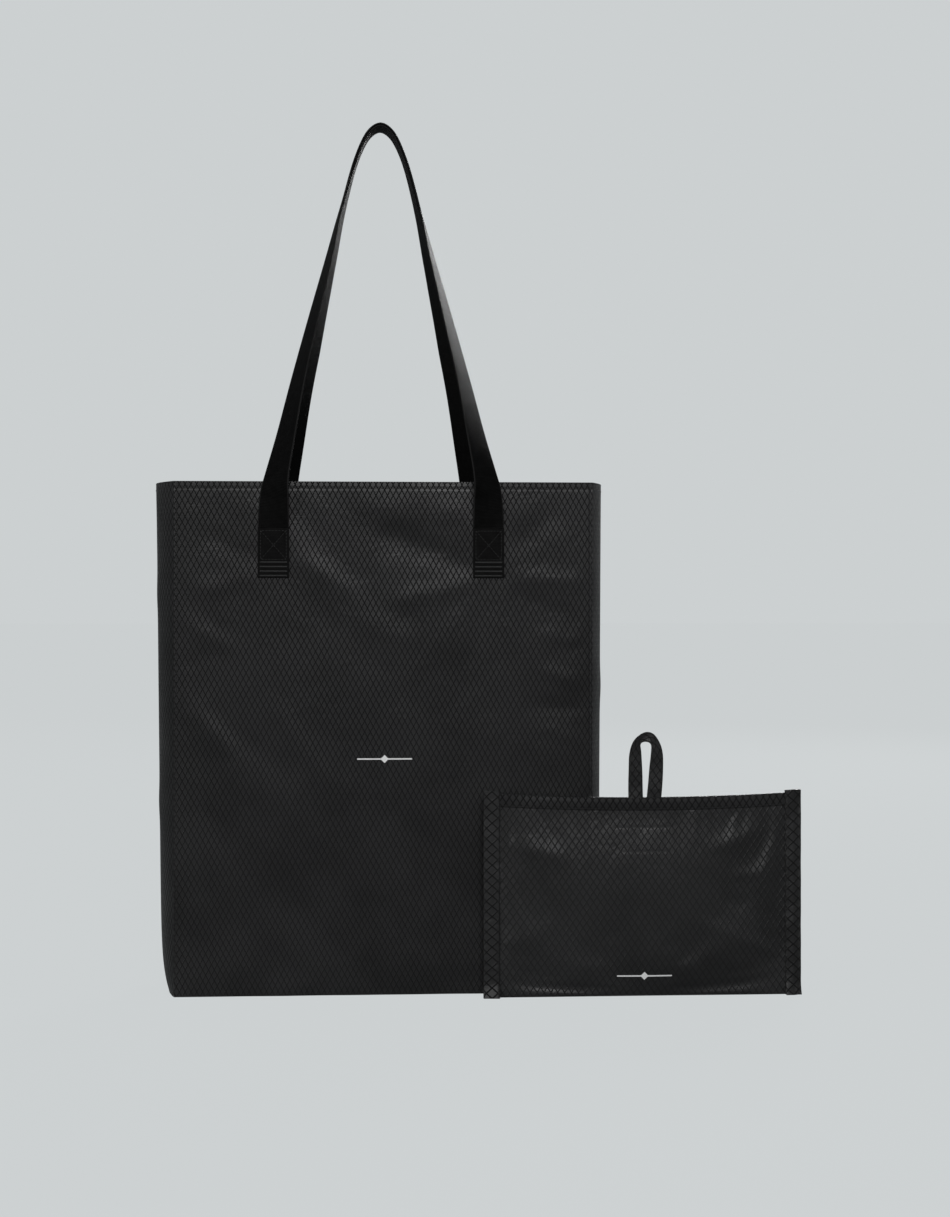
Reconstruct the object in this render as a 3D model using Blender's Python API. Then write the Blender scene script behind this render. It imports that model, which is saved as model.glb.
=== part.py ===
"""Foldable tote bag with its storage pouch.

Metres. +X to the right, +Y away from the front, +Z up. The origin is the centre of the tote's base.
Fabric pieces are closed sheets of one thickness, and touching pieces keep a gap of GAP.
"""
import math

import bmesh
import bpy
from mathutils import Vector

# Tote
WIDTH = 0.335  # between the side seams
HEIGHT = 0.411
DEPTH = 0.100
PANEL = 0.0015  # thickness of a fabric panel, with its coating and seam layers
GUSSET_BULGE = 0.014  # how far each side stands out at mid depth
GUSSET_TUCK = 0.060  # height over which the bulge dies away towards the base
GAP = 0.0003  # between pieces that touch

# Hems and seam bindings
HEM_HEIGHT = 0.008
TAPE_WIDTH = 0.0085
TAPE = 0.0010  # thickness of hem and binding tape

# Handles
WEBBING_WIDTH = 0.025
WEBBING = 0.0012
HANDLE_SPACING = 0.172  # between the centres of one handle's two ends
ANCHOR_HEIGHT = 0.040
ANCHOR_DROP = 0.037  # from the rim down to an anchor's upper edge
HANDLE_RISE = 0.3334  # from an anchor's upper edge to the middle of the arch
RIM_CLEARANCE = 0.004
NEST_LOW = 0.0040  # the back handle lies inside the front one by this much, along the legs
NEST_TOP = 0.0018  # and by this much at the top of the arch
NEST_STARTS = 0.12  # share of the rise over which it moves inside
NEST_CLOSES = 0.78  # share of the rise from which it closes up again, over as long a stretch
PATCH_MARGIN = 0.004  # reinforcement patch beyond the anchor, each way
BARTACK_HEIGHT = 0.011
BARTACK = 0.0004
BARTACK_INSET = 0.001

# Marks
MARK = 0.0003
MARK_LENGTH = 0.044
MARK_BAR = 0.0010
MARK_LOZENGE = 0.0065
MARK_CENTRE_Z = 0.189

# Storage pouch
POUCH_WIDTH = 0.252
POUCH_HEIGHT = 0.160
POUCH_CENTRE_X = 0.206
POUCH_BEHIND = 0.0045  # free space between the pouch's back and the tote's front
POUCH_CLOTH = 0.0010
POUCH_FULLNESS = 0.0113  # how far each wall swells from the middle plane
POUCH_MOUTH = 0.0036  # half the mouth's width
POUCH_SEAM = 0.0002  # half the space between the walls at the side seams
POUCH_ROUND = 2.5  # power of the swell from side to side; higher is fuller near the seams
POUCH_SAG = 0.8  # power of the swell from base to mouth; below 1 the fullest place sinks
POUCH_EASE = 0.92  # of the sum of swell and mouth, so that the fullest place keeps to its size
POUCH_ROWS = (0.0, 0.025, 0.075, 0.175, 0.3125, 0.5, 0.6875, 0.8125)  # of the height, below the hem
BINDING_WIDTH = 0.0110
BINDING_WALL = 0.0008
POUCH_HEM = 0.010
POUCH_HEM_CLOTH = 0.0006
FASTENER_WIDTH = 0.046
FASTENER_HEIGHT = 0.020
FASTENER_DROP = 0.0225  # from the mouth down to the fastener's upper edge
FASTENER = 0.0010
LOOP_WIDTH = 0.027
LOOP_HEIGHT = 0.049
LOOP_STRIP = 0.0108
LOOP_CLOTH = 0.0012
LOOP_GAP = 0.0008  # lets the loop's lower edge turn over the mouth
LOOP_CORNER = 0.6  # of the strip: how far the fold's slanted corners reach inwards
LOOP_SLANT = 1.3  # height of a slanted corner, of its width
POUCH_MARK_Z = 0.018

HALF_WIDTH = WIDTH / 2
HALF_DEPTH = DEPTH / 2
INNER_FACE = HALF_DEPTH - PANEL
HINGE_Z = HEIGHT - ANCHOR_DROP
HINGE_Y = HALF_DEPTH + GAP + 2 * WEBBING + GAP
POUCH_HALF = POUCH_SEAM + POUCH_FULLNESS + POUCH_CLOTH
POUCH_Y = -(HALF_DEPTH + POUCH_BEHIND + POUCH_HALF)
POUCH_SPAN = POUCH_WIDTH / 2 - BINDING_WIDTH - GAP  # half the width that swells

# One leg of a handle above the rim: share of the rise, of the end's distance from the middle and of the
# distance in front of the bag's middle plane, then the twist of the webbing in degrees.
LEG = (
    (0.228, 0.880, 0.850, 52),
    (0.360, 0.775, 0.655, 62),
    (0.513, 0.636, 0.440, 69),
    (0.657, 0.500, 0.280, 76),
    (0.774, 0.397, 0.150, 84),
    (0.858, 0.312, 0.060, 88),
    (0.918, 0.238, 0.000, 90),
    (0.965, 0.160, 0.000, 90),
    (0.990, 0.086, 0.000, 90),
)
RIM_TWIST = 38

# The stretch from an anchor's upper edge to the rim: share of its height and of its twist, and of the end's
# distance from the middle.
FOOT = ((0.5, 0.992), (1.0, 0.965))


def clear_scene():
    for item in list(bpy.data.objects):
        bpy.data.objects.remove(item, do_unlink=True)


def material(name, colour, roughness, metallic=0.0):
    made = bpy.data.materials.new(name)
    made.use_nodes = True
    shader = made.node_tree.nodes["Principled BSDF"]
    shader.inputs["Base Color"].default_value = (*colour, 1.0)
    shader.inputs["Roughness"].default_value = roughness
    shader.inputs["Metallic"].default_value = metallic
    return made


def empty(name, place, parent=None):
    made = bpy.data.objects.new(name, None)
    bpy.context.collection.objects.link(made)
    made.parent = parent
    made.location = place
    return made


def add_object(name, mesh, look, parent, place=(0, 0, 0)):
    mesh.materials.append(look)
    made = bpy.data.objects.new(name, mesh)
    bpy.context.collection.objects.link(made)
    made.parent = parent
    made.location = place
    return made


def finished_mesh(name, shape):
    """The shape as triangles that all face out.

    Every square is split the same way, so that layers that follow each other stay apart. A thin sheet can
    be turned inside out, so the sign of its volume decides.
    """
    bmesh.ops.triangulate(shape, faces=shape.faces, quad_method="FIXED")
    bmesh.ops.recalc_face_normals(shape, faces=shape.faces)
    if shape.calc_volume(signed=True) < 0:
        bmesh.ops.reverse_faces(shape, faces=shape.faces)
    mesh = bpy.data.meshes.new(name)
    shape.to_mesh(mesh)
    shape.free()
    return mesh


def slab(name, x_range, y_range, z_range, look, parent):
    """A flat rectangular piece between the given limits, in its parent's frame."""
    limits = (x_range, y_range, z_range)
    size = [high - low for low, high in limits]
    place = [(high + low) / 2 for low, high in limits]
    shape = bmesh.new()
    bmesh.ops.create_cube(shape, size=1.0)
    bmesh.ops.scale(shape, vec=size, verts=shape.verts)
    mesh = bpy.data.meshes.new(name)
    shape.to_mesh(mesh)
    shape.free()
    return add_object(name, mesh, look, parent, place)


def sheet(name, lower, upper, look, parent):
    """A closed sheet between two grids of points, lower[row][column] and upper[row][column]."""
    rows, columns = len(lower), len(lower[0])
    shape = bmesh.new()
    low = [[shape.verts.new(p) for p in row] for row in lower]
    top = [[shape.verts.new(p) for p in row] for row in upper]
    for r in range(rows - 1):
        for c in range(columns - 1):
            shape.faces.new((low[r][c], low[r][c + 1], low[r + 1][c + 1], low[r + 1][c]))
            shape.faces.new((top[r][c], top[r + 1][c], top[r + 1][c + 1], top[r][c + 1]))
    for r in range(rows - 1):
        for c in (0, columns - 1):
            shape.faces.new((low[r][c], low[r + 1][c], top[r + 1][c], top[r][c]))
    for c in range(columns - 1):
        for r in (0, rows - 1):
            shape.faces.new((low[r][c], low[r][c + 1], top[r][c + 1], top[r][c]))
    return add_object(name, finished_mesh(name, shape), look, parent)


def plate(name, outline, y_range, look, parent):
    """A flat piece with the given outline in X and Z, between two values of Y."""
    shape = bmesh.new()
    face = shape.faces.new([shape.verts.new((x, y_range[0], z)) for x, z in outline])
    grown = bmesh.ops.extrude_face_region(shape, geom=[face])
    moved = [item for item in grown["geom"] if isinstance(item, bmesh.types.BMVert)]
    bmesh.ops.translate(shape, vec=(0, y_range[1] - y_range[0], 0), verts=moved)
    return add_object(name, finished_mesh(name, shape), look, parent)


def spread(first, last, count):
    return [first + (last - first) * i / (count - 1) for i in range(count)]


# Tote: sides and base ------------------------------------------------------------------------------


def gusset_bulge(y, z):
    """How far a side stands out of the plane of its seams."""
    across = 1 - min(1.0, abs(y) / HALF_DEPTH) ** 2
    tuck = 1 - min(1.0, z / GUSSET_TUCK)
    return GUSSET_BULGE * across * (1 - tuck**2)


def side_sheet(name, side, y_range, z_values, inset, thickness, look, parent):
    """A sheet that follows a side. inset moves it inwards from the side's inner surface."""
    inner, outer = [], []
    for z in z_values:
        inner.append([])
        outer.append([])
        for y in spread(*y_range, 9):
            x = HALF_WIDTH + GAP + gusset_bulge(y, z) - inset
            inner[-1].append((side * x, y, z))
            outer[-1].append((side * (x + thickness), y, z))
    return sheet(name, inner, outer, look, parent)


def make_sides(ripstop, tape, parent):
    tucked = spread(0.0, GUSSET_TUCK, 6)
    straight = spread(GUSSET_TUCK, HEIGHT, 3)[1:]
    edge = HALF_DEPTH - GAP
    hem_edge = INNER_FACE - GAP - TAPE - 2 * GAP
    for label, side in (("left", -1), ("right", 1)):
        side_sheet(
            f"{label}_gusset", side, (-edge, edge), tucked + straight, 0.0, PANEL, ripstop, parent
        )
        side_sheet(
            f"{label}_hem",
            side,
            (-hem_edge, hem_edge),
            [HEIGHT - HEM_HEIGHT, HEIGHT - GAP],
            GAP + TAPE,
            TAPE,
            tape,
            parent,
        )


def make_base(ripstop, parent):
    edge = HALF_WIDTH - GAP
    depth = INNER_FACE - GAP
    slab("bottom_panel", (-edge, edge), (-depth, depth), (0.0, PANEL), ripstop, parent)


# Tote: one face with its tapes and handle ends -------------------------------------------------------


def between(face, near, far):
    """Y limits of a piece that lies from near to far from the bag's middle plane, on one face."""
    return tuple(sorted((face * near, face * far)))


def make_face(label, face, ripstop, tape, webbing, thread, parent):
    """face is -1 for the front and 1 for the back."""
    slab(
        f"{label}_panel",
        (-HALF_WIDTH, HALF_WIDTH),
        between(face, INNER_FACE, HALF_DEPTH),
        (0.0, HEIGHT),
        ripstop,
        parent,
    )
    inside = between(face, INNER_FACE - GAP - TAPE, INNER_FACE - GAP)
    tape_end = HALF_WIDTH - 3 * GAP
    hem_base = HEIGHT - HEM_HEIGHT
    slab(f"{label}_hem", (-tape_end, tape_end), inside, (hem_base, HEIGHT), tape, parent)
    low = PANEL + GAP
    slab(
        f"bottom_{label}_binding",
        (-tape_end, tape_end),
        inside,
        (low, low + TAPE_WIDTH),
        tape,
        parent,
    )
    for side_label, side in (("left", -1), ("right", 1)):
        slab(
            f"{label}_{side_label}_binding",
            tuple(sorted((side * tape_end, side * (tape_end - TAPE_WIDTH)))),
            inside,
            (low + TAPE_WIDTH + GAP, hem_base - GAP),
            tape,
            parent,
        )
        make_anchor(f"{label}_{side_label}", face, side, tape, webbing, thread, parent)


def make_anchor(label, face, side, tape, webbing, thread, parent):
    """A handle's sewn end outside, its rows of thread, and the patch inside that backs it."""
    centre = side * HANDLE_SPACING / 2
    half = WEBBING_WIDTH / 2
    top = HINGE_Z
    base = top - ANCHOR_HEIGHT
    outer = HALF_DEPTH + GAP + 2 * WEBBING
    slab(
        f"{label}_anchor",
        (centre - half, centre + half),
        between(face, HALF_DEPTH + GAP, outer),
        (base, top),
        webbing,
        parent,
    )
    thread_half = half - BARTACK_INSET
    thread_base = base + BARTACK_INSET
    slab(
        f"{label}_bartack",
        (centre - thread_half, centre + thread_half),
        between(face, outer + GAP, outer + GAP + BARTACK),
        (thread_base, thread_base + BARTACK_HEIGHT),
        thread,
        parent,
    )
    patch_top = min(top + PATCH_MARGIN, HEIGHT - HEM_HEIGHT - GAP)
    slab(
        f"{label}_patch",
        (centre - half - PATCH_MARGIN, centre + half + PATCH_MARGIN),
        between(face, INNER_FACE - GAP - TAPE, INNER_FACE - GAP),
        (base - PATCH_MARGIN, patch_top),
        tape,
        parent,
    )


# Handles -------------------------------------------------------------------------------------------


def standoff(twist):
    """How far in front of the middle plane the webbing's centre runs, to lie clear of the panel."""
    lean = WEBBING_WIDTH / 2 * math.sin(math.radians(twist))
    return HALF_DEPTH + GAP + 1.5 * WEBBING + lean


def leg_rows():
    """Left leg, from the sewn end up: (x, distance in front, z, twist) at each chosen station."""
    reach = HANDLE_SPACING / 2
    rim = ANCHOR_DROP + RIM_CLEARANCE
    rows = [(-reach, standoff(0), HINGE_Z + GAP, 0)]
    for share, reached in FOOT:
        twist = share * RIM_TWIST
        rows.append((-reach * reached, standoff(twist), HINGE_Z + share * rim, twist))
    for rise, share, lean, twist in LEG:
        rows.append(
            (-reach * share, lean * standoff(RIM_TWIST), HINGE_Z + rise * HANDLE_RISE, twist)
        )
    return rows


def smooth(rows, steps):
    """Points along a Catmull-Rom curve through rows, with steps points in each stretch."""
    padded = [rows[0], *rows, rows[-1]]
    found = []
    for i in range(1, len(padded) - 2):
        before, start, end, after = (Vector(padded[i + k]) for k in (-1, 0, 1, 2))
        for step in range(steps):
            t = step / steps
            found.append(
                0.5
                * (
                    2 * start
                    + (end - before) * t
                    + (2 * before - 5 * start + 4 * end - after) * t**2
                    + (3 * start - before - 3 * end + after) * t**3
                )
            )
    found.append(Vector(rows[-1]))
    return found


def handle_path():
    """The whole handle from its left end to its right end."""
    left = leg_rows()
    top = (0.0, 0.0, HINGE_Z + HANDLE_RISE, 90)
    right = [(-x, y, z, 180 - twist) for x, y, z, twist in reversed(left)]
    return smooth([Vector(row) for row in [*left, top, *right]], 4)


def make_handle(name, face, nested, webbing, parent):
    """A twisted ribbon. nested sets it inside the other handle, along the normal of the arch."""
    path = handle_path()
    origin = Vector((0, face * HINGE_Y, HINGE_Z))
    lower, upper = [], []
    for i, row in enumerate(path):
        ends = i in (0, len(path) - 1)
        before, after = path[max(i - 1, 0)], path[min(i + 1, len(path) - 1)]
        along = Vector((after[0] - before[0], face * (after[1] - before[1]), after[2] - before[2]))
        if ends:
            along = Vector((0, 0, 1 if i == 0 else -1))
        along.normalize()
        turn = math.radians(row[3])
        across = Vector((math.cos(turn), face * math.sin(turn), 0))
        across = (across - across.dot(along) * along).normalized()
        out = along.cross(across).normalized()
        centre = Vector((row[0], face * row[1], row[2]))
        if nested:
            rise = (row[2] - HINGE_Z) / HANDLE_RISE
            centre += nest(rise) * Vector((along.z, 0, -along.x)).normalized()
        half, skin = WEBBING_WIDTH / 2 * across, WEBBING / 2 * out
        centre -= origin
        lower.append([centre - half - skin, centre + half - skin])
        upper.append([centre - half + skin, centre + half + skin])
    return sheet(name, lower, upper, webbing, parent)


def nest(rise):
    """Inward set of the back handle: none at its sewn ends, widest along the legs, small on top."""
    grow = min(1.0, rise / NEST_STARTS)
    close = min(1.0, max(0.0, (rise - NEST_CLOSES) / NEST_STARTS))
    return grow * (NEST_LOW + (NEST_TOP - NEST_LOW) * close)


# Marks ---------------------------------------------------------------------------------------------


def mark_outline(centre_x, centre_z):
    """A thin bar with a lozenge in its middle."""
    end, bar, point = MARK_LENGTH / 2, MARK_BAR / 2, MARK_LOZENGE / 2
    half = [(-end, bar), (-point, bar), (0, point), (point, bar), (end, bar)]
    outline = half + [(x, -z) for x, z in reversed(half)]
    return [(centre_x + x, centre_z + z) for x, z in outline]


# Pouch ---------------------------------------------------------------------------------------------


def pouch_inner(x, z):
    """Distance of a wall's inner surface from the pouch's middle plane."""
    across = 1 - min(1.0, abs(x) / POUCH_SPAN) ** POUCH_ROUND
    share = min(1.0, max(0.0, z / POUCH_HEIGHT))
    swell = max(0.0, math.sin(math.pi * share**POUCH_SAG)) ** POUCH_SAG
    return POUCH_SEAM + across * (POUCH_FULLNESS * swell + POUCH_MOUTH * share) * POUCH_EASE


def wall_sheet(name, face, x_values, z_values, offset, thickness, look, parent):
    """A sheet that follows a pouch wall. offset counts outwards from the wall's inner surface."""
    near, far = [], []
    for z in z_values:
        near.append([(x, face * (pouch_inner(x, z) + offset), z) for x in x_values])
        far.append([(x, face * (pouch_inner(x, z) + offset + thickness), z) for x in x_values])
    return sheet(name, near, far, look, parent)


def make_pouch(ripstop, tape, hook, mark, parent):
    seam = POUCH_WIDTH / 2 - BINDING_WALL - GAP
    swell = POUCH_SPAN
    x_wall = [-seam, *spread(-swell, swell, 13), seam]
    z_hem = [POUCH_HEIGHT - POUCH_HEM, POUCH_HEIGHT - POUCH_HEM / 2, POUCH_HEIGHT]
    z_wall = [share * POUCH_HEIGHT for share in POUCH_ROWS] + z_hem
    x_hem = [-swell + GAP, *spread(-swell, swell, 13)[1:-1], swell - GAP]
    x_fastener = spread(-FASTENER_WIDTH / 2, FASTENER_WIDTH / 2, 5)
    fastener_top = POUCH_HEIGHT - FASTENER_DROP
    z_fastener = spread(fastener_top - FASTENER_HEIGHT, fastener_top, 4)
    inward = -(GAP + FASTENER)
    outward = POUCH_CLOTH + GAP
    for label, face, fastener in (("front", -1, "hook"), ("back", 1, "loop")):
        wall_sheet(f"pouch_{label}", face, x_wall, z_wall, 0.0, POUCH_CLOTH, ripstop, parent)
        hem = f"pouch_{label}_hem"
        wall_sheet(hem, face, x_hem, z_hem, outward, POUCH_HEM_CLOTH, tape, parent)
        patch = f"pouch_{fastener}_patch"
        wall_sheet(patch, face, x_fastener, z_fastener, inward, FASTENER, hook, parent)
    make_bindings(tape, parent)
    proud = pouch_inner(0, POUCH_MARK_Z + MARK_LOZENGE / 2) + POUCH_CLOTH + GAP
    outline = mark_outline(0, POUCH_MARK_Z)
    plate("pouch_mark", outline, (-proud - MARK, -proud), mark, parent)


def make_bindings(tape, parent):
    """A folded tape round each side seam, open towards the pouch."""
    inner = POUCH_SEAM + POUCH_CLOTH + GAP
    outer = inner + BINDING_WALL
    edge = POUCH_WIDTH / 2
    for label, side in (("left", -1), ("right", 1)):
        lip, back = edge - BINDING_WIDTH, edge - BINDING_WALL
        fold = [(lip, -outer), (edge, -outer), (edge, outer), (lip, outer)]
        slot = [(lip, inner), (back, inner), (back, -inner), (lip, -inner)]
        shape = bmesh.new()
        ring = [shape.verts.new((side * x, y, 0.0)) for x, y in fold + slot]
        face = shape.faces.new(ring)
        grown = bmesh.ops.extrude_face_region(shape, geom=[face])
        moved = [item for item in grown["geom"] if isinstance(item, bmesh.types.BMVert)]
        bmesh.ops.translate(shape, vec=(0, 0, POUCH_HEIGHT), verts=moved)
        name = f"pouch_{label}_binding"
        add_object(name, finished_mesh(name, shape), tape, parent)


def make_loop(ripstop, parent):
    """A flat folded strip: two legs with a narrow gap, and a slanted fold at the top."""
    half, strip, top = LOOP_WIDTH / 2, LOOP_STRIP, LOOP_HEIGHT
    corner = strip * LOOP_CORNER
    outline = [
        (-half, 0.0),
        (-half, top - corner * LOOP_SLANT),
        (-half + corner, top),
        (half - corner, top),
        (half, top - corner * LOOP_SLANT),
        (half, 0.0),
        (half - strip, 0.0),
        (half - strip, top - strip * LOOP_SLANT),
        (0.0, top - strip),
        (-half + strip, top - strip * LOOP_SLANT),
        (-half + strip, 0.0),
    ]
    plate("pouch_loop", outline, (-LOOP_CLOTH / 2, LOOP_CLOTH / 2), ripstop, parent)


def main():
    clear_scene()
    ripstop = material("ripstop", (0.018, 0.018, 0.019), 0.55)
    tape = material("tape", (0.012, 0.012, 0.013), 0.70)
    webbing = material("webbing", (0.006, 0.006, 0.006), 0.75)
    thread = material("thread", (0.015, 0.015, 0.015), 0.65)
    hook = material("hook_and_loop", (0.010, 0.010, 0.010), 0.90)
    mark = material("mark", (0.55, 0.55, 0.55), 0.60)

    tote = empty("tote", (0, 0, 0))
    back_half = empty("back_half_frame", (0, 0, 0), tote)
    make_base(ripstop, tote)
    make_sides(ripstop, tape, tote)
    make_face("front", -1, ripstop, tape, webbing, thread, tote)
    make_face("back", 1, ripstop, tape, webbing, thread, back_half)
    front_axis = empty("front_handle_axis", (0, -HINGE_Y, HINGE_Z), tote)
    back_axis = empty("back_handle_axis", (0, HINGE_Y, HINGE_Z), back_half)
    make_handle("front_handle", -1, False, webbing, front_axis)
    make_handle("back_handle", 1, True, webbing, back_axis)
    print_face = HALF_DEPTH + GAP
    outline = mark_outline(0, MARK_CENTRE_Z)
    plate("front_mark", outline, (-print_face - MARK, -print_face), mark, tote)

    pouch = empty("pouch_frame", (POUCH_CENTRE_X, POUCH_Y, 0))
    make_pouch(ripstop, tape, hook, mark, pouch)
    loop_y = pouch_inner(0, POUCH_HEIGHT) + POUCH_CLOTH / 2
    loop_axis = empty("pouch_loop_axis", (0, loop_y, POUCH_HEIGHT + LOOP_GAP), pouch)
    make_loop(ripstop, loop_axis)


main()
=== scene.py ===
# %% [markdown]
# # A foldable tote bag and its storage pouch
# The real bag is five pieces of thin coated ripstop sewn into a box, two long handles of black webbing,
# and a small pouch that the whole bag folds into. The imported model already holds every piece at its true
# size, so this lesson only dresses it: each piece gets cloth, thread and webbing in the space that is
# already there, and rides on the body that moves it.

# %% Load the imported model
import math

import bpy
import numpy as np
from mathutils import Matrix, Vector


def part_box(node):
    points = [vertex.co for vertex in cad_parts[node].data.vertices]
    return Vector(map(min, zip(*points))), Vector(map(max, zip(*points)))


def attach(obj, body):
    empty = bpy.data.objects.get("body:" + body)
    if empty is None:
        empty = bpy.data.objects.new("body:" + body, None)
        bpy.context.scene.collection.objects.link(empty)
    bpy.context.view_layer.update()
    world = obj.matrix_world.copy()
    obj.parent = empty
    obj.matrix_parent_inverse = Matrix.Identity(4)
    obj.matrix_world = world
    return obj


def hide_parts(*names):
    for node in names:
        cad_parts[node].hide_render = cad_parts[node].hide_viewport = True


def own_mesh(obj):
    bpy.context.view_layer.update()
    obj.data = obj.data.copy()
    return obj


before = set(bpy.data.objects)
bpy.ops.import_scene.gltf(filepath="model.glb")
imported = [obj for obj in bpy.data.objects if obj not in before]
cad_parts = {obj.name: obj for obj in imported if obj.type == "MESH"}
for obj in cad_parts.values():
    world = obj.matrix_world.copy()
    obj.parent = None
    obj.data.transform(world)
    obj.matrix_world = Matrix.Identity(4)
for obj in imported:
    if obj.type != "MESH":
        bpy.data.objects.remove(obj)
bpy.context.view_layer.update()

# %% [markdown]
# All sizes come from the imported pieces. The front and back panels give the tote's width, height and depth,
# and the pouch's side bindings give its outline. One millimetre has a name, because cloth is measured in it.

# %% Read the driving sizes
MM = 0.001
front_low, front_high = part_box("front_panel")
_, back_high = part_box("back_panel")
half_width = front_high[0]
height = front_high[2]
front_y, back_y = front_low[1], back_high[1]
half_depth = (back_y - front_y) / 2
print("tote", round(2 * half_width, 3), "x", round(2 * half_depth, 3), "x", round(height, 3), "m")

pouch_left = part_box("pouch_left_binding")[0]
pouch_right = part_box("pouch_right_binding")[1]
pouch_x = (pouch_left[0] + pouch_right[0]) / 2
pouch_y = (pouch_left[1] + pouch_right[1]) / 2
pouch_half = (pouch_right[0] - pouch_left[0]) / 2
pouch_height = pouch_right[2]
print("pouch", round(2 * pouch_half, 3), "x", round(pouch_height, 3), "m")

# %% [markdown]
# The camera comes first, so that every later choice can be judged from where it stands. It is level, a
# little over a metre and a half away and slightly to the left, so the left side of the bag shows as a
# narrow strip. A long lens keeps the panels square, and no lens shift is needed.

# %% Set up the camera


def linked(name, data):
    """A new object of data, in the scene."""
    made = bpy.data.objects.new(name, data)
    bpy.context.scene.collection.objects.link(made)
    return made


camera = linked("camera", bpy.data.cameras.new("camera"))
camera.data.sensor_width = 36
camera.data.lens = 59.16
camera.location = (-0.029, -1.6535, 0.3094)
camera.rotation_euler = (math.radians(90), 0, math.radians(-3.625))
bpy.context.scene.camera = camera
bpy.context.scene.view_settings.view_transform = "Standard"
print("camera at", [round(value, 2) for value in camera.location])

# %% [markdown]
# Black cloth shows its shape only by what it reflects. A pale room does most of that work, so the world is
# one even grey, and four wide soft lamps add a slow change of brightness over the cloth. The floor glows in
# the colour of the room, which leaves hardly any contact shadow.

# %% Light the room
ROOM = (0.604, 0.631, 0.638)
world = bpy.data.worlds.new("room")
world.use_nodes = True
world.node_tree.nodes["Background"].inputs["Color"].default_value = (*ROOM, 1)
bpy.context.scene.world = world


def soft_lamp(name, place, aim, size, watts):
    """A square area lamp at place that looks at aim."""
    lamp = linked(name, bpy.data.lights.new(name, "AREA"))
    lamp.data.size = size
    lamp.data.energy = watts
    lamp.visible_camera = False
    lamp.location = place
    away = Vector(place) - Vector(aim)
    lamp.rotation_euler = away.to_track_quat("Z", "Y").to_euler()
    return lamp


soft_lamp("key", (0.10, -3.0, 1.45), (0.03, 0, 0.30), 0.9, 200)
soft_lamp("front_left", (-2.3, -2.4, 0.65), (0, 0, 0.25), 1.1, 140)
soft_lamp("behind", (1.3, 2.6, 1.70), (0, 0, 0.25), 1.1, 160)
soft_lamp("right_side", (3.4, -0.6, 0.9), (0, 0, 0.25), 0.9, 45)

# %% Lay the floor
floor_mesh = bpy.data.meshes.new("floor")
FLOOR_HALF = 40.0
floor_corners = [(x * FLOOR_HALF, y * FLOOR_HALF, 0) for x, y in ((-1, -1), (1, -1), (1, 1), (-1, 1))]
floor_mesh.from_pydata(floor_corners, [], [(0, 1, 2, 3)])
floor = linked("floor", floor_mesh)
floor_look = bpy.data.materials.new("floor")
floor_look.use_nodes = True
floor_shader = floor_look.node_tree.nodes["Principled BSDF"]
floor_shader.inputs["Base Color"].default_value = (0.008, 0.0083, 0.0084, 1)
floor_shader.inputs["Roughness"].default_value = 1.0
floor_shader.inputs["Specular IOR Level"].default_value = 0.0
floor_shader.inputs["Emission Color"].default_value = (*ROOM, 1)
floor_shader.inputs["Emission Strength"].default_value = 0.98
floor_mesh.materials.append(floor_look)
print("floor", 2 * FLOOR_HALF, "m square")

# %% [markdown]
# Materials are made of nodes, and a few short helpers keep that readable: one adds a node and fills its
# inputs, with a number or with another node's output, and one does a single sum. Every cloth piece carries
# a flat pattern in metres, a map called cloth, which is how the weave stays the right size everywhere and
# follows the folds, as it does on cloth that was cut flat and then sewn.

# %% Helpers for materials


def add_node(tree, kind, inputs=(), **settings):
    """Adds a node. inputs are pairs of an input's name or number, and a value or an output to link."""
    made = tree.nodes.new(kind)
    for key, value in settings.items():
        setattr(made, key, value)
    for key, value in inputs:
        if isinstance(value, bpy.types.NodeSocket):
            tree.links.new(value, made.inputs[key])
        else:
            made.inputs[key].default_value = value
    return made


def sum_node(tree, operation, first, second=0.0):
    """One arithmetic step."""
    return add_node(tree, "ShaderNodeMath", ((0, first), (1, second)), operation=operation).outputs[0]


def soft_step(tree, value, start, end, low=0.0, high=1.0):
    """Goes smoothly from low to high as value goes from start to end."""
    inputs = ((0, value), (1, start), (2, end), (3, low), (4, high))
    kind = "ShaderNodeMapRange"
    return add_node(tree, kind, inputs, interpolation_type="SMOOTHSTEP").outputs[0]


def new_look(name, roughness, sheen=0.0, gloss=0.5):
    """A material with its Principled shader: gloss is its specular level, sheen that of fine fibres."""
    look = bpy.data.materials.new(name)
    look.use_nodes = True
    shader = look.node_tree.nodes["Principled BSDF"]
    shader.inputs["Roughness"].default_value = roughness
    shader.inputs["Specular IOR Level"].default_value = gloss
    shader.inputs["Sheen Weight"].default_value = sheen
    shader.inputs["Sheen Roughness"].default_value = 0.4
    return look, look.node_tree, shader


def mix_colour(tree, share, first, second):
    """Mixes two colours. A colour is three numbers or an output."""
    first, second = (c if isinstance(c, bpy.types.NodeSocket) else (*c, 1) for c in (first, second))
    inputs = ((0, share), (6, first), (7, second))
    return add_node(tree, "ShaderNodeMix", inputs, data_type="RGBA").outputs[2]


def cloth_place(tree):
    """Where a point lies on the flat pattern, in metres: across and up."""
    pattern = add_node(tree, "ShaderNodeUVMap", uv_map="cloth")
    parts = add_node(tree, "ShaderNodeSeparateXYZ", ((0, pattern.outputs[0]),))
    return parts.outputs[0], parts.outputs[1], pattern.outputs[0]


def noise(tree, place, scale, detail, **more):
    """A cloudy pattern: scale is in clouds per metre. more sets other inputs of the node."""
    inputs = [("Vector", place), ("Scale", scale), ("Detail", detail), *more.items()]
    return add_node(tree, "ShaderNodeTexNoise", inputs).outputs[0]


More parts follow.
